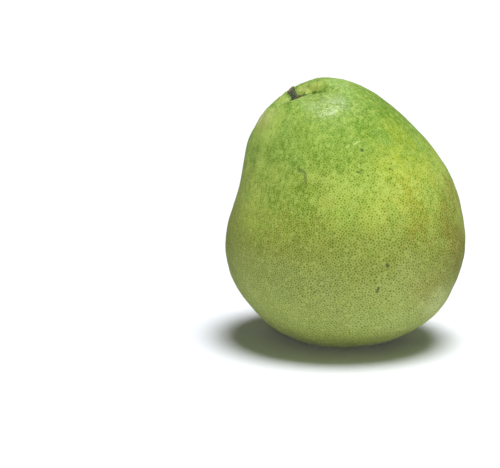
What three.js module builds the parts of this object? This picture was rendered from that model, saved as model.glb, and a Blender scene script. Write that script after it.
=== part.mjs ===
// A whole pomelo, as picked, standing on a table with its stem end up and leaning over to one side.
// Millimetres, +Z up. The origin is on the table, under the middle of the fruit.
//
// The fruit is one solid: a pear-shaped profile is lathed round a straight axis, its skin is given lobes,
// dents and the creases round the stem, and the whole is then bent over along a curved axis and set down
// on a small flat spot. Two pieces stand in the hollow at the stem end: the five-lobed calyx, and the cut
// stub of the woody stem, whose root goes down into a socket in the fruit.
import * as THREE from "three";
import { mergeVertices } from "three/addons/utils/BufferGeometryUtils.js";

// Fruit: its length is measured along the bent axis, from the blossom end to the rim round the stem.
const FRUIT_LENGTH = 163;
const BELLY_RADIUS = 72.8;
const FRUIT_SIDES = 80;
const BODY_RINGS = 34;
const CROWN_RINGS = 16;
const SHOULDER_RADIUS = 21;
const SHOULDER_HEIGHT = 0.98 * FRUIT_LENGTH;

// Lean of the axis from upright, at the blossom end and at the stem end, and the way that it leans:
// 180 degrees would be straight towards -X, and the rest is towards the front, -Y.
const BLOSSOM_LEAN = THREE.MathUtils.degToRad(6.5);
const STEM_LEAN = THREE.MathUtils.degToRad(35.6);
const LEAN_HEADING = THREE.MathUtils.degToRad(201);
const AXIS_STEPS = 240;

// Hollow at the stem end, with the socket that the stem stands in.
const RIM_RADIUS = 11.5;
const HOLLOW_DEPTH = 6.2;
const HOLLOW_FLOOR_RADIUS = 5.6;
const RIM_LIP_WIDTH = 3;
const SOCKET_RADIUS = 2.9;
const SOCKET_DEPTH = 4;

// Table contact: how much of the round underside is pressed flat.
const FLAT_SPOT_SAG = 1.2;

// Stem and calyx.
const FIT_GAP = 0.3;
const STEM_ROOT_RADIUS = SOCKET_RADIUS - FIT_GAP;
const STEM_WAIST_RADIUS = 2;
const STEM_TIP_RADIUS = 2.6;
const STEM_HEIGHT = 7.7;
const STEM_BEND = 0.1;
const STEM_RIDGE_DEPTH = 0.05;
const STEM_SIDES = 28;
const STEM_CUT_SLOPE = Math.tan(THREE.MathUtils.degToRad(17));
const CALYX_RADIUS = 4.9;
const CALYX_THICKNESS = 1.4;
const CALYX_LOBES = 5;
const CALYX_LOBE_DEPTH = 0.13;
const CALYX_SIDES = 60;

const FINISHES = {
  rind: { color: 0x9bb04a, roughness: 0.45, metalness: 0 },
  calyx: { color: 0x77803f, roughness: 0.7, metalness: 0 },
  wood: { color: 0x55544a, roughness: 0.85, metalness: 0 },
};
const MERGE_TOLERANCE = 1e-4;

// A bump of height 1 at zero that falls away over the given width.
const bump = (x, width) => Math.exp(-((x / width) ** 2));

// The difference between two angles, from -PI to PI.
const turnBetween = (a, b) => Math.atan2(Math.sin(a - b), Math.cos(a - b));

// Profile of the straight fruit, as radius and height: the body from the blossom end to the shoulder
// round the stem, then the crown over the rim, into the hollow and down the socket to the axis.
function fruitProfile() {
  const shoulder = new THREE.Vector2(SHOULDER_RADIUS, SHOULDER_HEIGHT);
  const body = new THREE.SplineCurve([
    new THREE.Vector2(0, 0.8),
    new THREE.Vector2(18, 1.7),
    new THREE.Vector2(35, 5.6),
    new THREE.Vector2(49.3, 13.8),
    new THREE.Vector2(0.832 * BELLY_RADIUS, 0.16 * FRUIT_LENGTH),
    new THREE.Vector2(BELLY_RADIUS, 0.325 * FRUIT_LENGTH),
    new THREE.Vector2(0.978 * BELLY_RADIUS, 0.54 * FRUIT_LENGTH),
    new THREE.Vector2(0.763 * BELLY_RADIUS, 0.74 * FRUIT_LENGTH),
    new THREE.Vector2(0.514 * BELLY_RADIUS, 0.9 * FRUIT_LENGTH),
    shoulder,
  ]);
  const floor = FRUIT_LENGTH - HOLLOW_DEPTH;
  const crown = new THREE.SplineCurve([
    shoulder,
    new THREE.Vector2(15.5, FRUIT_LENGTH - 0.9),
    new THREE.Vector2(RIM_RADIUS, FRUIT_LENGTH),
    new THREE.Vector2(RIM_RADIUS - RIM_LIP_WIDTH, FRUIT_LENGTH - 1.6),
    new THREE.Vector2(HOLLOW_FLOOR_RADIUS, floor + 0.6),
    new THREE.Vector2(SOCKET_RADIUS + 0.9, floor),
  ]);
  const socket = [
    new THREE.Vector2(SOCKET_RADIUS, floor - 0.3),
    new THREE.Vector2(SOCKET_RADIUS, floor - SOCKET_DEPTH),
    new THREE.Vector2(0, floor - SOCKET_DEPTH),
  ];
  return [...body.getPoints(BODY_RINGS).slice(0, -1), ...crown.getPoints(CROWN_RINGS), ...socket];
}

// Creases that run out from the stem over the crown, broad sinks there, and one raised lip, which has a
// depth below zero: heading round the axis, reach, depth and width.
const CREASES = [
  { heading: -24, reach: 32, depth: 3, width: 2.8 },
  { heading: -160, reach: 23, depth: 2.6, width: 2.6 },
  { heading: 138, reach: 26, depth: 1.6, width: 6 },
  { heading: 72, reach: 38, depth: 1.1, width: 15 },
  { heading: -98, reach: 26, depth: -2.3, width: 9 },
  { heading: -52, reach: 50, depth: 5.2, width: 17 },
].map((c) => ({ ...c, heading: THREE.MathUtils.degToRad(c.heading) }));

// Shallow dents in the rind: heading round the axis, height, depth and width.
const DENTS = [
  { heading: -128, height: 112, depth: 1.3, width: 20 },
  { heading: -38, height: 92, depth: 0.9, width: 26 },
  { heading: 75, height: 70, depth: 1.6, width: 24 },
  { heading: 150, height: 98, depth: 0.9, width: 18 },
  { heading: -85, height: 36, depth: 0.8, width: 22 },
  { heading: 168, height: 150, depth: -2.2, width: 14 },
  { heading: 178, height: 111, depth: 3.0, width: 25 },
].map((d) => ({ ...d, heading: THREE.MathUtils.degToRad(d.heading) }));

// Broad lobes that keep the fruit from being quite round: how many go round it, how far they swell, how
// far they are turned, and from which share of its height they rise.
const LOBES = [
  { count: 2, swell: 0.5, turn: 0.9, from: 0 },
  { count: 3, swell: 0.45, turn: -0.7, from: 0 },
  { count: 5, swell: 0.5, turn: 2.1, from: 0.55 },
];

// Blossom end: a shallow navel with the round scar that the flower's style leaves.
const navel = (radius) => 1.1 * bump(radius, 9) + 0.5 * bump(radius, 2.4);

// How far the skin stands out of the lathed form, and how far it sinks along the axis towards the middle
// of the fruit, at a point given by its radius, height and heading round the axis.
function skinRelief(radius, height, heading) {
  const { smoothstep } = THREE.MathUtils;
  const share = height / FRUIT_LENGTH;
  const lobes = LOBES.reduce((sum, l) => {
    const rise = l.from === 0 ? 1 : smoothstep(share, l.from, 0.95);
    return sum + l.swell * rise * Math.cos(l.count * heading + l.turn);
  }, 0);
  const dents = DENTS.reduce((sum, d) => {
    const across = turnBetween(heading, d.heading) * radius;
    return sum + d.depth * bump(Math.hypot(across, height - d.height), d.width);
  }, 0);
  const out = lobes * smoothstep(radius, 12, 50) - dents * smoothstep(radius, RIM_RADIUS, SHOULDER_RADIUS);

  const creases = CREASES.reduce((sum, c) => {
    const across = turnBetween(heading, c.heading) * radius;
    const inner = smoothstep(radius, HOLLOW_FLOOR_RADIUS, RIM_RADIUS - 1);
    const outer = 1 - smoothstep(radius, 0.45 * c.reach, c.reach);
    return sum + c.depth * inner * outer * bump(across, c.width);
  }, 0);
  const sink = creases * smoothstep(share, 0.8, 0.88) - navel(radius) * (1 - smoothstep(share, 0.2, 0.3));
  return { out, sink };
}

// The bent axis: its lean grows with the square of the height. Points on it come from small steps along
// it, and carry takes a point of the straight fruit over to the bent one.
function bentAxis() {
  const step = FRUIT_LENGTH / AXIS_STEPS;
  const leanAt = (height) => {
    const share = THREE.MathUtils.clamp(height / FRUIT_LENGTH, 0, 1);
    return BLOSSOM_LEAN + (STEM_LEAN - BLOSSOM_LEAN) * share ** 2;
  };
  const heading = new THREE.Vector3(Math.cos(LEAN_HEADING), Math.sin(LEAN_HEADING), 0);
  const side = new THREE.Vector3(0, 0, 1).cross(heading);
  const tangentAt = (height) =>
    new THREE.Vector3(0, 0, Math.cos(leanAt(height))).addScaledVector(heading, Math.sin(leanAt(height)));
  const stations = [new THREE.Vector3()];
  for (let i = 0; i < AXIS_STEPS; i++) {
    const middle = tangentAt((i + 0.5) * step);
    stations.push(stations[i].clone().addScaledVector(middle, step));
  }

  // Turns of the straight fruit's own frame at a height: +Z goes to the axis, and the rest follows.
  const turnAt = (height) => new THREE.Quaternion().setFromAxisAngle(side, leanAt(height));
  const pointAt = (height) => {
    const index = THREE.MathUtils.clamp(Math.floor(height / step), 0, AXIS_STEPS);
    return stations[index].clone().addScaledVector(tangentAt(height), height - index * step);
  };
  const carry = (across, height) => across.clone().applyQuaternion(turnAt(height)).add(pointAt(height));
  return { carry, turnAt, pointAt };
}

const axis = bentAxis();

// One closed surface with its shared vertices merged, ready to be given new normals.
function closed(geometry) {
  geometry.deleteAttribute("normal");
  geometry.deleteAttribute("uv");
  const merged = mergeVertices(geometry, MERGE_TOLERANCE);
  merged.computeVertexNormals();
  return merged;
}

// A lathe with its axis along +Z: the profile is given from the bottom up, as radius and height.
function latheUp(profile, sides) {
  return new THREE.LatheGeometry(profile, sides).rotateX(Math.PI / 2);
}

// Moves each vertex of a geometry to where the rule puts it.
function reshape(geometry, rule) {
  const position = geometry.getAttribute("position");
  const point = new THREE.Vector3();
  for (let i = 0; i < position.count; i++) {
    point.fromBufferAttribute(position, i);
    position.setXYZ(i, ...rule(point).toArray());
  }
  return geometry;
}

function fruitGeometry() {
  const geometry = latheUp(fruitProfile(), FRUIT_SIDES);
  reshape(geometry, (p) => {
    const radius = Math.hypot(p.x, p.y);
    const heading = Math.atan2(p.y, p.x);
    const { out, sink } = skinRelief(radius, p.z, heading);
    const across = new THREE.Vector3(Math.cos(heading), Math.sin(heading), 0);
    return axis.carry(across.multiplyScalar(radius + out), p.z - sink);
  });
  return closed(geometry);
}

// The stem stands in the socket, a fit gap above its floor. Over the calyx it narrows to a waist, spreads
// to the cut tip, turns a little ridged and bends back upright, and the cut slopes.
function stemGeometry() {
  const collar = SOCKET_DEPTH + CALYX_THICKNESS;
  const tip = SOCKET_DEPTH + STEM_HEIGHT;
  const along = (share) => THREE.MathUtils.lerp(collar, tip, share);
  const profile = [
    [0, 0],
    [STEM_ROOT_RADIUS - 0.2, 0],
    [STEM_ROOT_RADIUS, 0.3],
    [STEM_ROOT_RADIUS, SOCKET_DEPTH],
    [STEM_ROOT_RADIUS - 0.1, collar],
    [THREE.MathUtils.lerp(STEM_WAIST_RADIUS, STEM_ROOT_RADIUS, 0.35), along(0.18)],
    [STEM_WAIST_RADIUS, along(0.4)],
    [STEM_WAIST_RADIUS + 0.15, along(0.6)],
    [THREE.MathUtils.lerp(STEM_WAIST_RADIUS, STEM_TIP_RADIUS, 0.6), along(0.8)],
    [STEM_TIP_RADIUS, along(0.93)],
    [STEM_TIP_RADIUS - 0.3, tip],
    [0, tip - 0.3],
  ].map(([radius, height]) => new THREE.Vector2(radius, height));
  const geometry = latheUp(profile, STEM_SIDES);
  reshape(geometry, (p) => {
    const heading = Math.atan2(p.y, p.x);
    const free = THREE.MathUtils.smoothstep(p.z, collar, tip);
    const ridges = 1 + STEM_RIDGE_DEPTH * free * (Math.cos(4 * heading + 0.6) + Math.cos(7 * heading));
    const bend = STEM_BEND * free ** 2;
    return new THREE.Vector3(p.x * ridges + bend, p.y * ridges, p.z + STEM_CUT_SLOPE * p.x * free);
  });
  return closed(geometry);
}

// The calyx is a ring of five low lobes that lies on the hollow's floor, round the stem.
function calyxGeometry() {
  const hole = STEM_ROOT_RADIUS + FIT_GAP;
  const profile = [
    [hole, 0.35],
    [hole + 0.5, 0],
    [CALYX_RADIUS - 0.7, 0.15],
    [CALYX_RADIUS, 0.55],
    [CALYX_RADIUS - 0.25, 0.95],
    [CALYX_RADIUS - 1.1, CALYX_THICKNESS - 0.15],
    [hole + 0.45, CALYX_THICKNESS],
    [hole, CALYX_THICKNESS - 0.3],
    [hole, 0.35],
  ].map(([radius, height]) => new THREE.Vector2(radius, height));
  const geometry = latheUp(profile, CALYX_SIDES);
  reshape(geometry, (p) => {
    const radius = Math.hypot(p.x, p.y);
    const heading = Math.atan2(p.y, p.x);
    const outer = THREE.MathUtils.smoothstep(radius, hole + 0.2, CALYX_RADIUS);
    const lobe = 1 - CALYX_LOBE_DEPTH * outer * 0.5 * (1 - Math.cos(CALYX_LOBES * heading + 0.5));
    return new THREE.Vector3(p.x * lobe, p.y * lobe, p.z);
  });
  return closed(geometry);
}

function piece(name, geometry, finish) {
  const mesh = new THREE.Mesh(geometry, new THREE.MeshStandardMaterial(finish));
  mesh.name = name;
  return mesh;
}

// Places a piece that was made round +Z on the bent axis, with its foot at the given height.
function standOnAxis(mesh, height) {
  mesh.position.copy(axis.pointAt(height));
  mesh.quaternion.copy(axis.turnAt(height));
  return mesh;
}

// Presses the underside flat, and gives the shift that puts the flat spot on the table and the fruit's
// middle over the origin.
function setDown(geometry) {
  geometry.computeBoundingBox();
  const table = geometry.boundingBox.min.z + FLAT_SPOT_SAG;
  reshape(geometry, (p) => p.clone().setZ(Math.max(p.z, table)));
  geometry.computeBoundingBox();
  geometry.computeVertexNormals();
  const { min, max } = geometry.boundingBox;
  return new THREE.Vector3(-(min.x + max.x) / 2, -(min.y + max.y) / 2, -table);
}

const pomelo = new THREE.Group();
const floorHeight = FRUIT_LENGTH - HOLLOW_DEPTH;
const fruit = piece("fruit", fruitGeometry(), FINISHES.rind);
const shift = setDown(fruit.geometry);
const calyx = standOnAxis(piece("calyx", calyxGeometry(), FINISHES.calyx), floorHeight + FIT_GAP);
const stem = standOnAxis(piece("stem", stemGeometry(), FINISHES.wood), floorHeight - SOCKET_DEPTH + FIT_GAP);
for (const mesh of [fruit, calyx, stem]) {
  mesh.position.add(shift);
  pomelo.add(mesh);
}

export default pomelo;
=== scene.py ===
# %% [markdown]
# A pomelo, as picked, on a pale table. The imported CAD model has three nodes: the fruit, the dry calyx in
# the hollow at its stem end, and the cut stub of the stem. This lesson keeps their places and sizes, and
# gives each a fine surface: a rind with thousands of oil glands, a wrinkled calyx and a woody stem.

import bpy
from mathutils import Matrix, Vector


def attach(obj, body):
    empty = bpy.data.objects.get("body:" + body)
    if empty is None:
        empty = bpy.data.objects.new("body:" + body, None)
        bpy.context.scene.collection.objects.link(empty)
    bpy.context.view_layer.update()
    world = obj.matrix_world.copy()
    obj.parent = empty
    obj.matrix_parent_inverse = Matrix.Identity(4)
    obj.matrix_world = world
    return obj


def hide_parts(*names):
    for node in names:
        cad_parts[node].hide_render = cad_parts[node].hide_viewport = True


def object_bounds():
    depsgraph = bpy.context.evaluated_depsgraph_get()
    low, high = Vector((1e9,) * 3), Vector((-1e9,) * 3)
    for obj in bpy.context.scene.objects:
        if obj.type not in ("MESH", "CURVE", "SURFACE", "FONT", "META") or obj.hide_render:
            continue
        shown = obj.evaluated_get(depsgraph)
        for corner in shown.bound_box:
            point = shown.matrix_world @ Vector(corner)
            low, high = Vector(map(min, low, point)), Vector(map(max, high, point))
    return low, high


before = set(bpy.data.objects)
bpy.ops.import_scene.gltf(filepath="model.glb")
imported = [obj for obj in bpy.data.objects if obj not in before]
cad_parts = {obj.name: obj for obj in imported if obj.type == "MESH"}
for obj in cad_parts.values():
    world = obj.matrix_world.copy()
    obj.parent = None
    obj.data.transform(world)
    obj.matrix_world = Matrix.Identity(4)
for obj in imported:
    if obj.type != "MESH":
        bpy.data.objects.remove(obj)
cad_low, cad_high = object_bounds()
print("CAD box, mm:", [round(v * 1000, 1) for v in (*cad_low, *cad_high)])

# %% [markdown]
# The model is in metres, while a maker thinks in millimetres, so MM turns one into the other throughout.
# The Standard view adds no film curve of its own, so a colour that is typed in can be matched by eye.

# %% Imports and units
import math
import random

import bmesh
import bpy
import numpy as np
from mathutils import Matrix, Vector, noise
from mathutils.bvhtree import BVHTree

MM = 0.001
scene = bpy.context.scene
scene.view_settings.view_transform = "Standard"


def display(red, green, blue):
    """A colour as a screen shows it, 0 to 255, turned into the linear values that shaders use."""
    shares = [c / 255 for c in (red, green, blue)]
    linear = [s / 12.92 if s <= 0.04045 else ((s + 0.055) / 1.055) ** 2.4 for s in shares]
    return (*linear, 1.0)


# %% [markdown]
# The camera comes first, because marks on the rind are placed through it later. A long lens from about
# 60 centimetres looks a little down at the fruit, which stands right of the picture's middle: the camera
# aims at a point beside the fruit instead of using shift, so that its perspective stays true.

# %% Camera
PICTURE_WIDTH, PICTURE_HEIGHT = 500, 468
LENS_MM, SENSOR_MM = 70, 36
CAMERA_DISTANCE = 602.5 * MM
CAMERA_PITCH = math.radians(9)
AIM = Vector((-58.5, 0, 66.6)) * MM

camera = bpy.data.objects.new("camera", bpy.data.cameras.new("camera"))
scene.collection.objects.link(camera)
camera.data.lens, camera.data.sensor_width = LENS_MM, SENSOR_MM
camera.data.clip_start = 10 * MM
camera.rotation_euler = (math.pi / 2 - CAMERA_PITCH, 0, 0)
line_of_sight = Vector((0, math.cos(CAMERA_PITCH), -math.sin(CAMERA_PITCH)))
camera.location = AIM - line_of_sight * CAMERA_DISTANCE
scene.camera = camera
print("camera at, mm:", [round(v / MM) for v in camera.location])

# %% [markdown]
# The studio is a white table that runs to the horizon under a white sky, so that only the fruit and its
# soft contact shadow show. Sun lamps do the lighting, because a sun lights a wide table evenly. One nearly
# overhead, as wide as a softbox, makes the shadow, and one from the camera's side opens up the front. A
# third shows only in reflections and puts the soft glint on the crown, which lets the glint and the shadow
# each be set on their own. The sky is brighter for the camera than for the objects, which keeps the table
# white and the shadow dark.

# %% Studio
SKY_SEEN, SKY_MIRRORED, SKY_LIGHT = 1.05, 0.22, 0.03
TABLE_SIZE = 12.0


def soft_sun(name, strength, wide, heading, height):
    """A sun lamp so many degrees wide, at a heading, 0 being the camera's side, and a height."""
    lamp = bpy.data.objects.new(name, bpy.data.lights.new(name, "SUN"))
    scene.collection.objects.link(lamp)
    lamp.data.energy, lamp.data.angle = strength, math.radians(wide)
    turn, rise = math.radians(heading), math.radians(height)
    source = Vector((math.sin(turn) * math.cos(rise), -math.cos(turn) * math.cos(rise), math.sin(rise)))
    lamp.rotation_euler = source.to_track_quat("Z", "Y").to_euler()
    return lamp


def flat_world():
    """White for the camera, dimmer in reflections, and dim as a light."""
    world = bpy.data.worlds.new("white sky")
    scene.world = world
    world.use_nodes = True
    nodes, links = world.node_tree.nodes, world.node_tree.links
    path = nodes.new("ShaderNodeLightPath")
    indirect, strength = nodes.new("ShaderNodeMapRange"), nodes.new("ShaderNodeMapRange")
    indirect.inputs["To Min"].default_value = SKY_LIGHT
    indirect.inputs["To Max"].default_value = SKY_MIRRORED
    strength.inputs["To Max"].default_value = SKY_SEEN
    links.new(path.outputs["Is Glossy Ray"], indirect.inputs["Value"])
    links.new(indirect.outputs["Result"], strength.inputs["To Min"])
    links.new(path.outputs["Is Camera Ray"], strength.inputs["Value"])
    sky = nodes["Background"]
    sky.inputs["Color"].default_value = (1, 1, 1, 1)
    links.new(strength.outputs["Result"], sky.inputs["Strength"])


flat_world()
overhead = soft_sun("overhead softbox", strength=3.37, wide=28, heading=46, height=80.5)
front = soft_sun("front fill", strength=1.34, wide=26, heading=0, height=4)
glint = soft_sun("crown glint", strength=0.92, wide=14, heading=188, height=81)
overhead.visible_glossy = front.visible_glossy = False
glint.visible_diffuse = False

table = bmesh.new()
bmesh.ops.create_grid(table, x_segments=1, y_segments=1, size=TABLE_SIZE / 2)
floor = bpy.data.objects.new("table", bpy.data.meshes.new("table"))
table.to_mesh(floor.data)
table.free()
scene.collection.objects.link(floor)
floor.visible_glossy = False
print("lamps:", overhead.name, "+", front.name, "+", glint.name)

# %% [markdown]
# Materials are built from nodes. Two small helpers keep that readable: one adds a node and sets or links
# its inputs by name, and one mixes two colours by a mask.

# %% Node helpers


def add(tree, kind, inputs=None, **options):
    """A new node: a socket given as an input is linked, and any other value is set."""
    made = tree.nodes.new(kind)
    for name, value in options.items():
        setattr(made, name, value)
    for name, value in (inputs or {}).items():
        if isinstance(value, bpy.types.NodeSocket):
            tree.links.new(value, made.inputs[name])
        else:
            made.inputs[name].default_value = value
    return made


def mix_colours(tree, mask, first, second, how="MIX"):
    """The first colour where the mask is 0, and the second where it is 1."""
    mix = add(tree, "ShaderNodeMix", data_type="RGBA", blend_type=how, clamp_factor=True)
    for socket, value in ((mix.inputs[0], mask), (mix.inputs[6], first), (mix.inputs[7], second)):
        if isinstance(value, bpy.types.NodeSocket):
            tree.links.new(value, socket)
        else:
            socket.default_value = value
    return mix.outputs[2]


def calculate(tree, operation, first, second=0.0):
    """One step of arithmetic on two numbers or sockets."""
    return add(tree, "ShaderNodeMath", {0: first, 1: second}, operation=operation).outputs[0]


def ramp(tree, value, low, high, to_low=0.0, to_high=1.0):
    """The value's rise from low to high as a smooth step."""
    inputs = {"Value": value, "From Min": low, "From Max": high, "To Min": to_low, "To Max": to_high}
    return add(tree, "ShaderNodeMapRange", inputs, interpolation_type="SMOOTHSTEP").outputs["Result"]


def new_material(name, **settings):
    """A material with its Principled shader, whose uniform values are set on its own sockets."""
    material = bpy.data.materials.new(name)
    material.use_nodes = True
    shader = material.node_tree.nodes["Principled BSDF"]
    for socket, value in settings.items():
        shader.inputs[socket.replace("_", " ")].default_value = value
    return material, material.node_tree, shader


table_paint, _, _ = new_material("table white", Base_Color=(0.92, 0.94, 1, 1), Specular_IOR_Level=0)
floor.data.materials.append(table_paint)

# %% [markdown]
# The stem end needs a frame of its own, because the fruit leans. The calyx is a flat ring round the stem,
# so the direction in which its points spread least is the stem's axis, and their mean is its middle. That
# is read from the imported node, so it follows the model if the model changes.

# %% Frame of the stem end


def node_points(name):
    """A CAD node's points in metres, as rows."""
    points = np.empty(len(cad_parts[name].data.vertices) * 3)
    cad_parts[name].data.vertices.foreach_get("co", points)
    return points.reshape(-1, 3)


calyx_points = node_points("calyx")
calyx_middle = Vector(calyx_points.mean(0))
spread = np.linalg.svd(calyx_points - calyx_points.mean(0), full_matrices=False)[2]
stem_axis = Vector(spread[2]) * (1 if spread[2][2] > 0 else -1)
FIT_GAP = 0.3 * MM  # how far the CAD calyx stands off the hollow's floor
floor_drop = float(((calyx_points - calyx_points.mean(0)) @ np.array(stem_axis)).min()) - FIT_GAP
stem_foot = calyx_middle + stem_axis * floor_drop
stem_side = stem_axis.cross(Vector((1, 0, 0))).cross(stem_axis).normalized()
stem_back = stem_axis.cross(stem_side)
stem_frame = Matrix((stem_side, stem_back, stem_axis)).transposed().to_4x4()
stem_frame.translation = stem_foot
into_stem = stem_frame.inverted()
print("stem end at, mm:", [round(v / MM, 1) for v in stem_foot], "leaning",
      round(math.degrees(stem_axis.angle(Vector((0, 0, 1)))), 1), "degrees")


def round_stem(point):
    """A point as height above the hollow's floor, distance from the stem's axis, and turn round it."""
    side, back, height = into_stem @ point
    return height, math.hypot(side, back), math.atan2(back, side)


# %% [markdown]
# The CAD fruit has the right form, but flat facets. A smooth guide is made from it: the loose triangles
# are merged, joined back to quads and subdivided. The guide never shows. It is what the rind is laid on,
# through a tree that finds where a line meets it.

# %% Smooth guide
MERGE_DISTANCE = 0.001 * MM
QUAD_FOLD, QUAD_SKEW = math.radians(40), math.radians(80)
HEART_LEVEL = 0.45


def smooth_guide(name, levels):
    """A merged and subdivided copy of a CAD node, as a bmesh."""
    shape = bmesh.new()
    shape.from_mesh(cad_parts[name].data)
    bmesh.ops.remove_doubles(shape, verts=shape.verts, dist=MERGE_DISTANCE)
    bmesh.ops.join_triangles(shape, faces=shape.faces, cmp_seam=False, cmp_sharp=False, cmp_uvs=False,
                             cmp_vcols=False, cmp_materials=False,
                             angle_face_threshold=QUAD_FOLD, angle_shape_threshold=QUAD_SKEW)
    mesh = bpy.data.meshes.new("guide")
    shape.to_mesh(mesh)
    holder = bpy.data.objects.new("guide", mesh)
    scene.collection.objects.link(holder)
    smooth = holder.modifiers.new("smooth", "SUBSURF")
    smooth.levels = smooth.render_levels = levels
    fine = holder.evaluated_get(bpy.context.evaluated_depsgraph_get()).to_mesh()
    shape.clear()
    shape.from_mesh(fine)
    bpy.data.objects.remove(holder)
    return shape


guide = smooth_guide("fruit", 2)
guide_tree = BVHTree.FromBMesh(guide)
heart = Vector(node_points("fruit").mean(0))
heart.z = (cad_low.z + cad_high.z) * HEART_LEVEL
print("guide:", len(guide.faces), "faces; heart at, mm:", [round(v / MM, 1) for v in heart])

# %% [markdown]
# A pomelo's rind is covered with oil glands, each a shallow pit with a dark dot in it, about 2 millimetres
# apart and never in rows. A texture could draw them, but real pits catch the light at the crown. So the
# mesh itself is grown round them. The glands are scattered over a ball: the golden angle spreads them
# evenly, a seeded nudge breaks the spiral rows, and a convex hull joins neighbours. Smoothing the net and
# joining it anew, a few times, evens out the gaps.

# %% Scatter the glands
GLAND_SEED = 21
GLANDS = 29000
GOLDEN_ANGLE = math.pi * (3 - math.sqrt(5))
NUDGE = 0.4 * math.sqrt(4 * math.pi / GLANDS)
EVEN_ROUNDS = 3


def scattered(rng):
    """Points spread over the unit ball along a spiral, each nudged out of its row."""
    for number in range(GLANDS):
        height = 1 - (2 * number + 1) / GLANDS
        ring, turn = math.sqrt(1 - height * height), GOLDEN_ANGLE * number
        nudge = Vector([rng.uniform(-NUDGE, NUDGE) for _ in range(3)])
        yield (Vector((ring * math.cos(turn), ring * math.sin(turn), height)) + nudge).normalized()


def joined(points):
    """The points as a net of triangles, which on a ball is their convex hull."""
    net = bmesh.new()
    for point in points:
        net.verts.new(point)
    bmesh.ops.convex_hull(net, input=net.verts)
    return net


rng = random.Random(GLAND_SEED)
rind = joined(scattered(rng))
for _ in range(EVEN_ROUNDS):
    bmesh.ops.smooth_vert(rind, verts=rind.verts, factor=0.5, use_axis_x=True, use_axis_y=True,
                          use_axis_z=True)
    evened = [point.co.normalized() for point in rind.verts if point.link_faces]
    rind.free()
    rind = joined(evened)
print("glands:", len(rind.verts), "joined by", len(rind.faces), "triangles")

# %% [markdown]
# Poking each triangle and turning the old edges gives every gland a ring of new points, which are the
# ridges between the pits. A float attribute says how strong each gland is. It is 0 on the ridges.

# %% Ring every gland
GLANDS_MISSING, WEAKEST_GLAND = 0.04, 0.5

gland_size = rind.verts.layers.float.new("gland")
for point in rind.verts:
    missing = rng.random() < GLANDS_MISSING
    point[gland_size] = 0 if missing else rng.uniform(WEAKEST_GLAND, 1)
gland_edges = list(rind.edges)
for point in bmesh.ops.poke(rind, faces=rind.faces)["verts"]:
    point.co.normalize()
    point[gland_size] = 0
bmesh.ops.rotate_edges(rind, edges=gland_edges, use_ccw=False)
print("net:", len(rind.verts), "points,", len(rind.faces), "triangles")

# %% [markdown]
# Round the stem the skin is crumpled more finely than elsewhere, so there each edge is cut in two. Cutting
# them all would give a mesh far heavier than the rest of the rind needs.

# %% Finer net round the stem
FINE_ROUND_STEM = math.radians(19)

towards_stem = (stem_foot - heart).normalized()
near = [e for e in rind.edges if all(v.co.angle(towards_stem) < FINE_ROUND_STEM for v in e.verts)]
bmesh.ops.subdivide_edges(rind, edges=near, cuts=1, use_grid_fill=True)
bmesh.ops.triangulate(rind, faces=[f for f in rind.faces if len(f.verts) > 3])
print("with the crown:", len(rind.faces), "triangles")

# %% [markdown]
# Now the ball is laid on the guide: each point goes out from the fruit's heart until it meets the guide.
# Points over the socket stop at the hollow's floor, where the calyx covers them. The few points that ended
# up inside the last hull have no triangle, so they are deleted first.

# %% Lay the net on the guide
SOCKET_REACH = 6 * MM

loose = [point for point in rind.verts if not point.link_faces]
bmesh.ops.delete(rind, geom=loose, context="VERTS")
for point in rind.verts:
    place = guide_tree.ray_cast(heart, point.co)[0]
    height, _, _ = round_stem(place)
    if height < 0 and (place - stem_foot).length < SOCKET_REACH:
        place = place - stem_axis * height
    point.co = place
rind.normal_update()
print("laid:", len(rind.verts), "points, after", len(loose), "loose ones were deleted")

# %% [markdown]
# Some of the rind's forms, colours and marks are placed where the camera sees them. A line from the camera
# through a place in the picture meets the guide at a point of the rind. The mark is painted round that
# point in the object's own coordinates, so it stays on the fruit from every side.

# %% Points of the rind by their place in the picture
BROW_AT = (331, 110)


def seen_at(across, down):
    """The point of the rind that the camera sees at a place in the 500 by 468 picture."""
    spread_out = SENSOR_MM / LENS_MM / PICTURE_WIDTH
    ray = Vector(((across - PICTURE_WIDTH / 2) * spread_out, (PICTURE_HEIGHT / 2 - down) * spread_out, -1))
    ray = camera.rotation_euler.to_matrix() @ ray
    return guide_tree.ray_cast(camera.location, ray.normalized())[0]


brow = seen_at(*BROW_AT)
print("the crown's brow, mm:", [round(v / MM, 1) for v in brow])

# %% [markdown]
# Fine form on top of the guide's: slow swells that bend the highlights, a low brow that gathers the glint
# on the crown, lumps and folds that crowd round the stem, and the pits. Every move is along the surface's
# own direction, and the flat spot stays flat.

# %% Relief of the rind
PIT_DEPTH, PITS_FADE = 0.17 * MM, 0.3
SWELL_HEIGHT, SWELL_SIZE = 0.25 * MM, 22 * MM
RIPPLE_HEIGHT, RIPPLE_SIZE, RIPPLE_PLACE = 0.2 * MM, 6.5 * MM, Vector((7, 2, 5))
LUMP_HEIGHT, LUMP_SIZE, LUMP_PLACE = 0.4 * MM, 3.4 * MM, Vector((3, 1, 4))
LUMPS_FADE, LUMPS_ABOVE = (7 * MM, 40 * MM), (-4 * MM, 0.5 * MM)
FOLD_HEIGHT, FOLDS, FOLDS_START = 0.1 * MM, 17, (5 * MM, 9 * MM)
FOLD_WANDER, FOLD_WANDER_SIZE = 2.5, 6 * MM
BROW_HEIGHT, BROW_REACH = 0.75 * MM, 17 * MM
FLAT_SPOT_EDGE = 2.5 * MM


def rise(value, low, high):
    """A smooth step from 0 at low to 1 at high."""
    share = min(max((value - low) / (high - low), 0), 1)
    return share * share * (3 - 2 * share)


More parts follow.
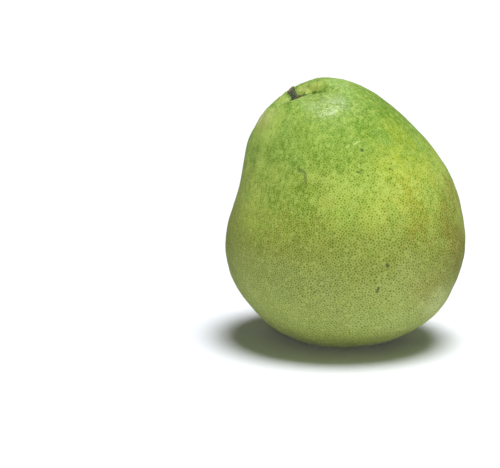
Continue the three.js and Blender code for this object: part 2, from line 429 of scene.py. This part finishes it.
def rind_relief(point):
    """How far a point of the rind stands out of the guide."""
    height, away, turn = round_stem(point.co)
    near_stem = (1 - rise(away, *LUMPS_FADE)) * rise(height, *LUMPS_ABOVE)
    swell = SWELL_HEIGHT * noise.noise(point.co / SWELL_SIZE)
    ripple = RIPPLE_HEIGHT * noise.noise(point.co / RIPPLE_SIZE + RIPPLE_PLACE)
    lumps = LUMP_HEIGHT * near_stem * noise.noise(point.co / LUMP_SIZE + LUMP_PLACE)
    wander = FOLD_WANDER * noise.noise(point.co / FOLD_WANDER_SIZE)
    folds = FOLD_HEIGHT * near_stem * rise(away, *FOLDS_START) * math.cos(FOLDS * turn + wander)
    on_brow = 1 - rise((point.co - brow).length, 0, BROW_REACH)
    pit = PIT_DEPTH * point[gland_size] * (1 - PITS_FADE * near_stem + on_brow)
    stands = swell + ripple + lumps + folds + BROW_HEIGHT * on_brow - pit
    return stands * rise(point.co.z, 0, FLAT_SPOT_EDGE)


heights = [rind_relief(point) for point in rind.verts]
moves = [point.normal * height for point, height in zip(rind.verts, heights)]
for point, move in zip(rind.verts, moves):
    point.co += move
    point.co.z = max(point.co.z, 0)
rind.normal_update()
print("rind stands", round(max(m.length for m in moves) / MM, 2), "mm off the guide at most")

# %% [markdown]
# A bmesh is a workbench. To be seen, its shape goes into a mesh, the mesh into an object, and the object
# into the scene. The object stays at the origin, because the place of the piece is in its points.

# %% Make an object of each bmesh


def finished(shape, name, material):
    """A smooth-shaded object at the origin, with its place in its mesh."""
    mesh = bpy.data.meshes.new(name)
    shape.to_mesh(mesh)
    shape.free()
    mesh.shade_smooth()
    piece = bpy.data.objects.new(name, mesh)
    scene.collection.objects.link(piece)
    mesh.materials.append(material)
    return piece


# %% [markdown]
# Three effects are used over and over: a speckle, a zone and a mark. Each is a node group with named
# sockets, built once and placed in a material as often as it is needed, with values of its own.

# %% Start of a node group


def new_group(name, **sockets):
    """An empty group with the given inputs, by kind, and one output called Mask."""
    group = bpy.data.node_groups.new(name, "ShaderNodeTree")
    for socket, kind in sockets.items():
        group.interface.new_socket(socket, in_out="INPUT", socket_type="NodeSocket" + kind)
    group.interface.new_socket("Mask", in_out="OUTPUT", socket_type="NodeSocketFloat")
    return group, group.nodes.new("NodeGroupInput").outputs, group.nodes.new("NodeGroupOutput").inputs


def vector_step(tree, operation, first, second, output="Vector"):
    """One step of arithmetic on two vectors."""
    return add(tree, "ShaderNodeVectorMath", {0: first, 1: second}, operation=operation).outputs[output]


# %% [markdown]
# Speckle is a noise with a grain size in millimetres and a stretch, cut to a soft mask. It serves for
# blotches, clusters of glands and grain on the rind, and for fibres on the stem.

# %% Speckle
SPECKLE_DETAIL = 3.0


def speckle_group():
    """Noise of a grain size in millimetres, drawn out along Z, as a mask from Low to High."""
    group, given, result = new_group("Speckle", Position="Vector", Grain="Float", Stretch="Float",
                                     Low="Float", High="Float")
    grain = calculate(group, "MULTIPLY", given["Grain"], MM)
    tall = calculate(group, "MULTIPLY", grain, given["Stretch"])
    size = add(group, "ShaderNodeCombineXYZ", {"X": grain, "Y": grain, "Z": tall}).outputs[0]
    place = vector_step(group, "DIVIDE", given["Position"], size)
    inputs = {"Vector": place, "Scale": 1.0, "Detail": SPECKLE_DETAIL}
    cloud = add(group, "ShaderNodeTexNoise", inputs).outputs["Fac"]
    group.links.new(ramp(group, cloud, given["Low"], given["High"]), result["Mask"])
    return group


# %% [markdown]
# Zone is a soft round patch: 1 near its middle and 0 at its reach. A number that wavers over the surface is
# added to the distance, so that no zone is a clean circle.

# %% Zone
ZONE_FADES = (0.15, 1.0)


def zone_group():
    """A soft round patch with a wavering edge."""
    group, given, result = new_group("Zone", Position="Vector", Middle="Vector", Reach="Float",
                                     Waver="Float")
    away = vector_step(group, "DISTANCE", given["Position"], given["Middle"], "Value")
    share = calculate(group, "DIVIDE", away, given["Reach"])
    share = calculate(group, "ADD", share, given["Waver"])
    group.links.new(ramp(group, share, *ZONE_FADES, 1.0, 0.0), result["Mask"])
    return group


# %% [markdown]
# Mark is a short line for specks, scars and scratches. It is 1 along its middle and 0 past its half width,
# and noise eats into its edge, because a real scar is never ruled.

# %% Mark
RAGGED_SIZE, RAGGED_DETAIL = 0.8 * MM, 2.0
MARK_FADES = (0.7, 1.6)


def mark_group():
    """A line from Start to End with a ragged edge."""
    group, given, result = new_group("Mark", Position="Vector", Start="Vector", End="Vector", Wide="Float")
    line = vector_step(group, "SUBTRACT", given["End"], given["Start"])
    away = vector_step(group, "SUBTRACT", given["Position"], given["Start"])
    along = calculate(group, "DIVIDE", vector_step(group, "DOT_PRODUCT", away, line, "Value"),
                      vector_step(group, "DOT_PRODUCT", line, line, "Value"))
    along.node.use_clamp = True
    scaled = add(group, "ShaderNodeVectorMath", {0: line, "Scale": along}, operation="SCALE").outputs[0]
    off = vector_step(group, "DISTANCE", away, scaled, "Value")
    size = vector_step(group, "DIVIDE", given["Position"], (RAGGED_SIZE, RAGGED_SIZE, RAGGED_SIZE))
    inputs = {"Vector": size, "Scale": 1.0, "Detail": RAGGED_DETAIL}
    ragged = add(group, "ShaderNodeTexNoise", inputs).outputs["Fac"]
    share = calculate(group, "ADD", calculate(group, "DIVIDE", off, given["Wide"]), ragged)
    group.links.new(ramp(group, share, *MARK_FADES, 1.0, 0.0), result["Mask"])
    return group


# %% [markdown]
# Short functions place the groups in a material. Two more read what a mesh has stored and give a surface
# the fine relief that only its light shows.

# %% Placing the effects
GROUPS = {"Speckle": speckle_group(), "Zone": zone_group(), "Mark": mark_group()}
BUMP_STRENGTH = 0.6


def mask_of(tree, group, position, share=1.0, **inputs):
    """The mask of one effect placed in a material, times a share."""
    placed = add(tree, "ShaderNodeGroup", node_tree=GROUPS[group])
    for name, value in {"Position": position, **inputs}.items():
        if isinstance(value, bpy.types.NodeSocket):
            tree.links.new(value, placed.inputs[name])
        else:
            placed.inputs[name].default_value = value
    return calculate(tree, "MULTIPLY", placed.outputs["Mask"], share)


def speckled(tree, position, grain, stretch, low, high, share=1.0):
    """A speckle of a grain size and stretch, cut from low to high."""
    return mask_of(tree, "Speckle", position, share, Grain=grain, Stretch=stretch, Low=low, High=high)


def zoned(tree, position, middle, reach, waver=0.0, share=1.0):
    """A soft round patch about a point of the surface."""
    return mask_of(tree, "Zone", position, share, Middle=middle, Reach=reach, Waver=waver)


def stored(tree, name):
    """What the mesh has stored under a name."""
    return add(tree, "ShaderNodeAttribute", attribute_name=name).outputs["Fac"]


def roughen(tree, shader, height, distance):
    """Fine relief of a height from 0 to 1 and a depth in metres."""
    bump = add(tree, "ShaderNodeBump", {"Height": height, "Distance": distance, "Strength": BUMP_STRENGTH})
    tree.links.new(bump.outputs["Normal"], shader.inputs["Normal"])


print("groups:", list(GROUPS))

# %% [markdown]
# The rind's colour is worked out in layers, as on the fruit. First come bands of height, from the hazy
# green of the belly through a yellow girdle to the green crown. The bands are partly the rind's own colour
# and partly painted light: the belly's pale haze paints light thrown up by the table, the girdle is paler
# where the overhead light falls, the band between them is darker, and the lowest bands are a little darker
# with painted shade under the fruit. Noise shifts the height at which they are read, so that their edges
# waver, but not near the flat spot, where the colour is even.

# %% Bands of the rind
FRUIT_HEIGHT = cad_high.z
BANDS = [
    (0, display(140, 146, 82)), (5, display(144, 152, 82)), (11, display(158, 170, 88)),
    (23, display(165, 180, 98)), (45, display(160, 171, 83)), (72, display(153, 163, 66)),
    (103, display(177, 196, 88)), (125, display(143, 176, 74)), (160, display(140, 174, 80)),
]
WAVER = {"grain": 22, "stretch": 1, "low": 0.25, "high": 0.75}
WAVER_GROWS, WAVER_MOST = (12 * MM, 40 * MM), 0.14


def banded(tree, height, waver):
    """The colour that the bands have at a height in metres, with a wavering edge between them."""
    shift = calculate(tree, "MULTIPLY", waver, ramp(tree, height, *WAVER_GROWS, 0, WAVER_MOST))
    wavering = calculate(tree, "ADD", calculate(tree, "DIVIDE", height, FRUIT_HEIGHT), shift)
    bands = add(tree, "ShaderNodeValToRGB", {"Fac": wavering})
    bands.color_ramp.interpolation = "EASE"
    stops = bands.color_ramp.elements
    while len(stops) < len(BANDS):
        stops.new(1.0)
    for stop, (level, colour) in zip(stops, BANDS):
        stop.position, stop.color = level * MM / FRUIT_HEIGHT, colour
    return bands.outputs["Color"]


print("bands from", BANDS[0][0], "to", BANDS[-1][0], "mm up")

# %% [markdown]
# Then come zones, each a soft patch placed where the fruit ripens to yellow, dulls to olive or stays
# green. They have a place in the picture, a reach in millimetres, a colour and a share of it.
# Some zones are partly painted light: the paler yellow on the upper right where the lamps fall strongest,
# the pale haze low on the right, which paints the table's reflection, the olive right edge, which is partly
# painted shade, and the paler far wall of the hollow, which paints light over its shade.

# %% Zones of the rind
ZONES = [
    {"at": (263, 130), "reach": 26, "colour": display(186, 212, 104), "share": 0.85},
    {"at": (303, 87), "reach": 7, "colour": display(216, 226, 134), "share": 0.9},
    {"at": (279, 100), "reach": 8, "colour": display(192, 202, 108), "share": 0.9},
    {"at": (262, 124), "reach": 9, "colour": display(184, 178, 96), "share": 0.6},
    {"at": (290, 182), "reach": 24, "colour": display(140, 168, 60), "share": 0.4},
    # Paler yellow on the upper right: partly the rind's own yellow, partly painted light where the lamps
    # fall strongest.
    {"at": (406, 182), "reach": 27, "colour": display(206, 218, 98), "share": 0.7},
    {"at": (360, 178), "reach": 19, "colour": display(140, 172, 62), "share": 0.62},
    {"at": (375, 213), "reach": 13, "colour": display(194, 208, 88), "share": 0.5},
    {"at": (304, 220), "reach": 27, "colour": display(128, 146, 48), "share": 0.6},
    {"at": (384, 112), "reach": 34, "colour": display(102, 144, 34), "share": 0.85},
    {"at": (330, 160), "reach": 15, "colour": display(126, 160, 56), "share": 0.6},
    # Paler on the hollow's far wall: painted light over the hollow's shade.
    {"at": (316, 88), "reach": 8, "colour": display(194, 206, 104), "share": 0.8},
    {"at": (319, 98), "reach": 10, "colour": display(110, 144, 48), "share": 0.7},
    {"at": (361, 121), "reach": 10, "colour": display(108, 152, 42), "share": 0.65},
    {"at": (385, 125), "reach": 11, "colour": display(172, 192, 68), "share": 0.5},
    {"at": (350, 94), "reach": 9, "colour": display(164, 208, 90), "share": 0.3},
    {"at": (412, 156), "reach": 26, "colour": display(172, 188, 54), "share": 0.65},
    {"at": (431, 208), "reach": 24, "colour": display(156, 160, 34), "share": 0.65},
    # Olive on the right edge: partly the rind's own olive, partly painted shade where the side turns away
    # from the light.
    {"at": (457, 238), "reach": 41, "colour": display(140, 132, 40), "share": 0.85},
    {"at": (318, 304), "reach": 30, "colour": display(144, 156, 76), "share": 0.55},
    {"at": (398, 290), "reach": 26, "colour": display(176, 188, 100), "share": 0.5},
    {"at": (430, 284), "reach": 18, "colour": display(166, 164, 76), "share": 0.7},
    # Pale haze low on the right: a painted reflection of the white table.
    {"at": (438, 306), "reach": 22, "colour": display(200, 208, 138), "share": 0.85},
    {"at": (342, 81), "reach": 10, "colour": display(184, 218, 126), "share": 0.5},
    {"at": (266, 113), "reach": 12, "colour": display(224, 228, 150), "share": 0.8},
]


def ripened_and_lit(tree, position, waver, colour):
    """The colour with every zone laid over it, in order."""
    for zone in ZONES:
        mask = zoned(tree, position, seen_at(*zone["at"]), zone["reach"] * MM, waver, zone["share"])
        colour = mix_colours(tree, mask, colour, zone["colour"])
    return colour


print("zones:", len(ZONES))

# %% [markdown]
# Blotches of several sizes break up the bands. They are strong on the crown, where the skin is green and
# mottled, and faint on the belly. A grain finer than the glands keeps the skin from looking like plastic.

# %% Mottle of the rind
MOTTLES = [
    (display(118, 156, 46), {"grain": 11, "stretch": 1.7, "low": 0.42, "high": 0.66, "share": 0.5}),
    (display(182, 208, 90), {"grain": 4.5, "stretch": 1.6, "low": 0.5, "high": 0.72, "share": 0.3}),
    (display(104, 144, 40), {"grain": 3.2, "stretch": 1.6, "low": 0.5, "high": 0.7, "share": 0.5}),
    (display(188, 214, 104), {"grain": 2.2, "stretch": 2.8, "low": 0.5, "high": 0.64, "share": 0.42}),
]
MOTTLE_GROWS, MOTTLE_ON_BELLY = (60 * MM, 110 * MM), 0.3
FINE_GRAIN = {"grain": 0.8, "stretch": 1, "low": 0.42, "high": 0.62, "share": 0.45}
GRAIN_TINT = (0.78, 0.8, 0.66, 1)


def mottled(tree, position, height, colour):
    """The colour with its blotches and fine grain."""
    strength = ramp(tree, height, *MOTTLE_GROWS, MOTTLE_ON_BELLY, 1)
    for paint, blotch in MOTTLES:
        mask = calculate(tree, "MULTIPLY", speckled(tree, position, **blotch), strength)
        colour = mix_colours(tree, mask, colour, paint)
    return mix_colours(tree, speckled(tree, position, **FINE_GRAIN), colour, GRAIN_TINT, "MULTIPLY")


print("mottles:", len(MOTTLES))

# %% [markdown]
# Each gland shows as a dark dot, and the skin between the dots as a paler net. The dots read what the mesh
# has stored, so they lie in its pits. A little noise is added, because a gland's dot is never round, and
# more on the crown, where the glands run together in clusters. One zone below the hollow has hardly any.

# %% Glands of the rind
GLAND_TINT, RIDGE_COLOUR = (0.42, 0.5, 0.21, 1), display(196, 208, 112)
MERGING = {"grain": 1.2, "stretch": 1.2, "low": 0.3, "high": 0.7, "share": 0.3}
CLUSTERS = {"grain": 2.2, "stretch": 1.2, "low": 0.3, "high": 0.7}
CLUSTERS_MIDDLE, CLUSTERS_GROW, CLUSTERS_MOST = 0.55, (65 * MM, 110 * MM), 0.36
NET_SHOWS, NET_FADES, NET_SHARES = (0.4, 0.1), (100 * MM, 130 * MM), (0.36, 0.2)
DOTS_SHOW, DOTS_FADE, DOT_SHARES = (0.28, 0.98), (95 * MM, 140 * MM), (1.0, 0.55)
PLAIN_AT, PLAIN_REACH, PLAIN_SHARE = (312, 101), 9 * MM, 0.85


def dotted(tree, position, height, waver, colour):
    """The colour with the pale net and the dark dots of the glands."""
    clusters = calculate(tree, "SUBTRACT", speckled(tree, position, **CLUSTERS), CLUSTERS_MIDDLE)
    clusters = calculate(tree, "MULTIPLY", clusters, ramp(tree, height, *CLUSTERS_GROW, 0, CLUSTERS_MOST))
    merging = calculate(tree, "ADD", speckled(tree, position, **MERGING), clusters)
    merged = calculate(tree, "ADD", stored(tree, "gland"), merging)
    net = ramp(tree, merged, *NET_SHOWS)
    net = calculate(tree, "MULTIPLY", net, ramp(tree, height, *NET_FADES, *NET_SHARES))
    colour = mix_colours(tree, net, colour, RIDGE_COLOUR)
    plain = zoned(tree, position, seen_at(*PLAIN_AT), PLAIN_REACH, waver, PLAIN_SHARE)
    dots = ramp(tree, merged, *DOTS_SHOW)
    dots = calculate(tree, "MULTIPLY", dots, calculate(tree, "SUBTRACT", 1.0, plain))
    dots = calculate(tree, "MULTIPLY", dots, ramp(tree, height, *DOTS_FADE, *DOT_SHARES))
    return mix_colours(tree, dots, colour, GLAND_TINT, "MULTIPLY")


print("dots show in full below", round(DOTS_FADE[0] / MM), "mm")

# %% [markdown]
# Marks are what makes one fruit itself: dark specks, a hooked scar and two pale scratches. The broken dark
# line along a crease on the side that the camera sees, and a short one in the fold left of the stem, are
# painted shade. The rest of the skin gets specks of the same kind, scattered by a seeded draw.

# %% Marks of the rind
DARK_MARK, PALE_MARK = display(74, 92, 44), display(200, 218, 124)
# Dark green for the painted shade in the crease.
CREASE_SHADE = display(66, 100, 34)
MARKS = [
    {"start": (387, 265), "end": (388, 266), "wide": 1.3, "colour": DARK_MARK, "share": 0.9},
    {"start": (378.6, 287.6), "end": (377, 292), "wide": 1.2, "colour": DARK_MARK, "share": 0.8},
    {"start": (361.6, 149.8), "end": (362.4, 150.2), "wide": 1.4, "colour": DARK_MARK, "share": 0.95},
    {"start": (357.6, 171.8), "end": (358.4, 172.2), "wide": 1.0, "colour": DARK_MARK, "share": 0.9},
    {"start": (389.6, 168.8), "end": (390.4, 169.2), "wide": 0.9, "colour": DARK_MARK, "share": 0.8},
    {"start": (299, 169.5), "end": (304, 172), "wide": 1.6, "colour": DARK_MARK, "share": 0.62},
    {"start": (305, 174), "end": (306, 184), "wide": 1.3, "colour": DARK_MARK, "share": 0.55},
    {"start": (354, 144), "end": (359, 141.5), "wide": 0.8, "colour": PALE_MARK, "share": 0.7},
    {"start": (346.5, 147), "end": (348.5, 146), "wide": 0.8, "colour": PALE_MARK, "share": 0.6},
    # The last six marks are painted shade: dark lines in the crease right of the stem and in the fold left
    # of it.
    {"start": (302.5, 96), "end": (305.5, 95), "wide": 1.5, "colour": CREASE_SHADE, "share": 0.8},
    {"start": (307.5, 94.6), "end": (310, 94), "wide": 1.2, "colour": CREASE_SHADE, "share": 0.65},
    {"start": (313, 93), "end": (315.5, 92.6), "wide": 1.6, "colour": CREASE_SHADE, "share": 0.8},
    {"start": (318.5, 92.4), "end": (321, 91.8), "wide": 1.2, "colour": CREASE_SHADE, "share": 0.65},
    {"start": (324, 91.5), "end": (325.5, 91), "wide": 0.8, "colour": CREASE_SHADE, "share": 0.5},
    {"start": (287, 104), "end": (291, 102.5), "wide": 1.0, "colour": CREASE_SHADE, "share": 0.5},
]
SPECKS_BEHIND, SPECK_SEED, SPECK_LENGTH = 16, 4, 1.6 * MM


def marks_on_rind():
    """Start, end, width, colour and share of every mark, in metres."""
    for mark in MARKS:
        yield (seen_at(*mark["start"]), seen_at(*mark["end"]), mark["wide"] * MM, mark["colour"],
               mark["share"])
    draw = random.Random(SPECK_SEED)
    for _ in range(SPECKS_BEHIND):
        way = Vector((draw.uniform(-1, 1), draw.uniform(0.05, 1), draw.uniform(-0.7, 1))).normalized()
        start = guide_tree.ray_cast(heart, way)[0]
        slip = Vector([draw.uniform(-SPECK_LENGTH, SPECK_LENGTH) for _ in range(3)])
        yield start, start + slip, draw.uniform(0.7, 1.3) * MM, DARK_MARK, draw.uniform(0.5, 0.9)


def marked(tree, position, colour):
    """The colour with every mark on it."""
    for start, end, wide, paint, share in marks_on_rind():
        mask = mask_of(tree, "Mark", position, share, Start=start, End=end, Wide=wide)
        colour = mix_colours(tree, mask, colour, paint)
    return colour


print("marks:", len(MARKS), "seen and", SPECKS_BEHIND, "behind")

# %% [markdown]
# The layers come together in one material. The skin is slightly waxy. It is matt nearly everywhere, has a
# hammered look on the crown, and is polished round the brow, where a soft glint has to show.

# %% Rind material
RIND_SHINE = 0.4
MATT_ROUGHNESS, POLISHED_ROUGHNESS, POLISH_REACH = 0.5, 0.29, 19 * MM
HAMMERED, HAMMERED_GROWS = {"grain": 2.6, "stretch": 0.6, "low": 0.25, "high": 0.75}, (100 * MM, 130 * MM)
PORES = {"grain": 1.1, "stretch": 1, "low": 0.3, "high": 0.7, "share": 0.2}
RIND_BUMP = 0.16 * MM


def rind_material():
    """Green citrus rind under a slightly waxy surface."""
    material, tree, shader = new_material("rind", Specular_IOR_Level=RIND_SHINE)
    position = add(tree, "ShaderNodeTexCoord").outputs["Object"]
    height = add(tree, "ShaderNodeSeparateXYZ", {"Vector": position}).outputs["Z"]
    waver = calculate(tree, "SUBTRACT", speckled(tree, position, **WAVER), 0.5)
    colour = banded(tree, height, waver)
    colour = ripened_and_lit(tree, position, waver, colour)
    colour = mottled(tree, position, height, colour)
    colour = dotted(tree, position, height, waver, colour)
    colour = marked(tree, position, colour)
    tree.links.new(colour, shader.inputs["Base Color"])
    hammered = speckled(tree, position, **HAMMERED)
    hammered = calculate(tree, "MULTIPLY", hammered, ramp(tree, height, *HAMMERED_GROWS))
    pores = speckled(tree, position, **PORES)
    roughen(tree, shader, calculate(tree, "ADD", pores, hammered), RIND_BUMP)
    polish = zoned(tree, position, brow, POLISH_REACH)
    rough = ramp(tree, polish, 0, 1, MATT_ROUGHNESS, POLISHED_ROUGHNESS)
    tree.links.new(rough, shader.inputs["Roughness"])
    return material


skin = finished(rind, "rind", rind_material())
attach(skin, "root")
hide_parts("fruit")
print("rind:", len(skin.data.polygons), "triangles,", len(skin.active_material.node_tree.nodes), "nodes")

# %% [markdown]
# The calyx is the dry five-lobed button that the flower leaves round the stem. The CAD ring has its size
# and lobes. On a finer copy, a groove parts each lobe from the next, wrinkles run outwards, and the tips
# curl up a little, as they do when they dry.

# %% Calyx shape
LOBES = 5
GROOVE_DEPTH, GROOVE_WIDE, GROOVES_START = 0.4 * MM, 0.16, (2.9 * MM, 4 * MM)
WRINKLES, WRINKLE_HEIGHT, WRINKLES_START = 31, 0.07 * MM, (2.9 * MM, 3.6 * MM)
WRINKLE_WANDER, WRINKLE_WANDER_SIZE = 2, 1.2 * MM
TIP_CURL, TIPS_START, UPPER_SIDE = 0.25 * MM, (3.1 * MM, 4.9 * MM), (0, 0.6)
SEPAL_GRAIN, SEPAL_GRAIN_SIZE = 0.12 * MM, 0.9 * MM


def carve(shape, rule, name):
    """Moves each point along its normal by a rule, and stores how much as an attribute in millimetres."""
    layer = shape.verts.layers.float.new(name)
    moves = [rule(point) for point in shape.verts]
    for point, move in zip(shape.verts, moves):
        point.co += point.normal * move
        point[layer] = move / MM


def lobe_turn():
    """The turn round the stem at which a lobe of the CAD calyx reaches furthest."""
    places = [round_stem(Vector(point)) for point in calyx_points]
    pull = sum(away * complex(math.cos(LOBES * turn), math.sin(LOBES * turn)) for _, away, turn in places)
    return math.atan2(pull.imag, pull.real) / LOBES


first_lobe = lobe_turn()


def calyx_relief(point):
    """Grooves between the lobes, wrinkles, curled tips and grain."""
    _, away, turn = round_stem(point.co)
    phase = (LOBES * (turn - first_lobe)) % (2 * math.pi) - math.pi
    groove = GROOVE_DEPTH * math.exp(-(phase / LOBES / GROOVE_WIDE) ** 2) * rise(away, *GROOVES_START)
    wander = WRINKLE_WANDER * noise.noise(point.co / WRINKLE_WANDER_SIZE)
    wrinkles = WRINKLE_HEIGHT * math.cos(WRINKLES * turn + wander) * rise(away, *WRINKLES_START)
    on_top = rise(point.normal.dot(stem_axis), *UPPER_SIDE)
    curl = TIP_CURL * rise(away, *TIPS_START) * (0.5 - 0.5 * math.cos(phase)) * on_top
    grain = SEPAL_GRAIN * noise.noise(point.co / SEPAL_GRAIN_SIZE)
    return wrinkles + curl + grain - groove


calyx_shape = smooth_guide("calyx", 2)
calyx_shape.normal_update()
carve(calyx_shape, calyx_relief, "relief")
print("calyx:", len(calyx_shape.faces), "faces, first lobe at", round(math.degrees(first_lobe)), "degrees")

# %% [markdown]
# Calyx and stem are painted in the stem's own coordinates, so that fibres and bark run along the stem and
# not straight up. A Mapping node turns the object's coordinates into them.

# %% Coordinates along the stem


def stem_coordinates(tree):
    """Object coordinates turned so that Z runs along the stem."""
    position = add(tree, "ShaderNodeTexCoord").outputs["Object"]
    inputs = {"Vector": position, "Location": into_stem.translation, "Rotation": into_stem.to_euler()}
    return add(tree, "ShaderNodeMapping", inputs).outputs[0]


print("stem coordinates start at, mm:", [round(v / MM, 1) for v in into_stem.translation])

# %% [markdown]
# Dried sepals are olive going brown, in patches. Their grooves are darker and their raised ridges paler.
# The relief that was stored while the shape was carved says which is which.

# %% Calyx material
OLIVE_SEPAL, BROWN_SEPAL = display(104, 112, 58), display(98, 88, 54)
PALE_RIDGE, DARK_GROOVE = display(138, 136, 84), display(62, 56, 34)
SEPAL_PATCHES = {"grain": 1.6, "stretch": 0.5, "low": 0.38, "high": 0.62}
SEPAL_PORES = {"grain": 0.35, "stretch": 1, "low": 0.3, "high": 0.7}
RIDGES_PALE, GROOVES_DARKEN = (0.03, 0.2), (-0.06, -0.3)
SEPAL_BUMP = 0.05 * MM


def calyx_material():
    """Dried sepals, with dark grooves and pale raised ridges."""
    material, tree, shader = new_material("dry_calyx", Roughness=0.75, Specular_IOR_Level=0.3)
    position = stem_coordinates(tree)
    relief = stored(tree, "relief")
    colour = mix_colours(tree, speckled(tree, position, **SEPAL_PATCHES), OLIVE_SEPAL, BROWN_SEPAL)
    colour = mix_colours(tree, ramp(tree, relief, *RIDGES_PALE, 0.0, 0.6), colour, PALE_RIDGE)
    colour = mix_colours(tree, ramp(tree, relief, *GROOVES_DARKEN, 0.0, 0.85), colour, DARK_GROOVE)
    tree.links.new(colour, shader.inputs["Base Color"])
    roughen(tree, shader, speckled(tree, position, **SEPAL_PORES), SEPAL_BUMP)
    return material


calyx = finished(calyx_shape, "dry_calyx", calyx_material())
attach(calyx, "root")
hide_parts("calyx")
print("calyx material:", len(calyx.active_material.node_tree.nodes), "nodes")

# %% [markdown]
# The stem is a woody stub, cut with a knife. Its bark has dried into ridges that run along it, and the cut
# end shows paler wood with fine rings round a dark pith. Both are relief on a finer copy of the CAD stem,
# and a second attribute tells the material where the cut is.

# %% Where the stem is cut
TIP_FACING, TIP_REACH = 0.8, 1 * MM
CUT_ABOVE, CUT_FACING = (0.6, 0.8), (0.75, 0.93)

stem_shape = smooth_guide("stem", 3)
stem_shape.normal_update()
stem_top = max(round_stem(point.co)[0] for point in stem_shape.verts)
tip_points = [point.co for point in stem_shape.verts
              if point.normal.dot(stem_axis) > TIP_FACING and round_stem(point.co)[0] > 0]
tip_middle = sum(tip_points, Vector()) / len(tip_points)
near_tip = [point for point in stem_shape.verts if (point.co - tip_middle).length < TIP_REACH]
cut_facing = sum((point.normal for point in near_tip), Vector()).normalized()
cut_mark = stem_shape.verts.layers.float.new("cut")
for point in stem_shape.verts:
    above_neck = rise(round_stem(point.co)[0], CUT_ABOVE[0] * stem_top, CUT_ABOVE[1] * stem_top)
    point[cut_mark] = rise(point.normal.dot(cut_facing), *CUT_FACING) * above_neck
print("cut at, mm:", [round(v / MM, 1) for v in tip_middle])

# %% Stem shape
BARK_RIDGES, BARK_HEIGHT, BARK_LEVEL = 11, 0.13 * MM, 0.6
BARK_WANDER, BARK_WANDER_SIZE = 1.6, 2.2 * MM
BARK_GRAIN, BARK_GRAIN_SIZE, BARK_GRAIN_STRETCH = 0.16 * MM, 0.5 * MM, 2.5
BARK_STARTS = (0.8 * MM, 2.2 * MM)
RING_HEIGHT, RINGS_APART = 0.03 * MM, 0.36 * MM
PITH_DEPTH, PITH_RADIUS, PITH_EDGE = 0.3 * MM, 0.4 * MM, (0.5, 1.4)
WOOD_GRAIN_SHARE = 0.4


def stem_relief(point):
    """Ridged bark on the side, and rings round a sunken pith on the cut."""
    height, _, turn = round_stem(point.co)
    wander = BARK_WANDER * noise.noise(point.co / BARK_WANDER_SIZE)
    ridges = BARK_HEIGHT * (abs(math.sin(BARK_RIDGES / 2 * turn + wander)) - BARK_LEVEL)
    drawn_out = Vector((point.co.x, point.co.y, point.co.z / BARK_GRAIN_STRETCH))
    grain = BARK_GRAIN * noise.noise(drawn_out / BARK_GRAIN_SIZE)
    from_pith = (point.co - tip_middle).length
    rings = RING_HEIGHT * math.cos(from_pith / RINGS_APART * 2 * math.pi)
    pith = PITH_DEPTH * (1 - rise(from_pith, PITH_EDGE[0] * PITH_RADIUS, PITH_EDGE[1] * PITH_RADIUS))
    bark = (ridges + grain) * rise(height, *BARK_STARTS)
    wood = rings - pith + WOOD_GRAIN_SHARE * grain
    return bark + (wood - bark) * point[cut_mark]


carve(stem_shape, stem_relief, "relief")
print("stem:", len(stem_shape.faces), "faces, top", round(stem_top / MM, 1), "mm above the hollow's floor")

# %% [markdown]
# Dry bark is grey-brown, with paler fibres along it, mossy patches and dark cracks. The cut end is paler
# wood, and the attribute of the cut mixes the two, so that the knife's edge is where the shape has it.

# %% Stem material
BARK_DARK, BARK_PALE = display(90, 93, 78), display(132, 136, 116)
BARK_PATCH, BARK_CRACK = display(104, 110, 76), display(62, 60, 46)
WOOD_DARK, WOOD_PALE, PITH_COLOUR = display(118, 108, 84), display(156, 144, 112), display(54, 46, 36)
FIBRES = {"grain": 0.5, "stretch": 5, "low": 0.35, "high": 0.65}
BARK_PATCHES = {"grain": 1.8, "stretch": 1.5, "low": 0.48, "high": 0.62, "share": 0.5}
WOOD_PORES = {"grain": 0.3, "stretch": 1, "low": 0.35, "high": 0.65}
CRACKS_SHOW, PITH_SHOWS = (0.0, -0.1), (-0.03, -0.15)
BARK_BUMP = 0.06 * MM


def stem_material():
    """Grey-brown dry bark with dark cracks, and a paler cut end."""
    material, tree, shader = new_material("dry_bark", Roughness=0.85, Specular_IOR_Level=0.25)
    position = stem_coordinates(tree)
    relief = stored(tree, "relief")
    fibres = speckled(tree, position, **FIBRES)
    bark = mix_colours(tree, fibres, BARK_DARK, BARK_PALE)
    bark = mix_colours(tree, speckled(tree, position, **BARK_PATCHES), bark, BARK_PATCH)
    bark = mix_colours(tree, ramp(tree, relief, *CRACKS_SHOW, 0.0, 0.8), bark, BARK_CRACK)
    wood = mix_colours(tree, speckled(tree, position, **WOOD_PORES), WOOD_DARK, WOOD_PALE)
    wood = mix_colours(tree, ramp(tree, relief, *PITH_SHOWS), wood, PITH_COLOUR)
    tree.links.new(mix_colours(tree, stored(tree, "cut"), bark, wood), shader.inputs["Base Color"])
    roughen(tree, shader, fibres, BARK_BUMP)
    return material


stem = finished(stem_shape, "dry_stem", stem_material())
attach(stem, "root")
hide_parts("stem")
print("stem material:", len(stem.active_material.node_tree.nodes), "nodes")
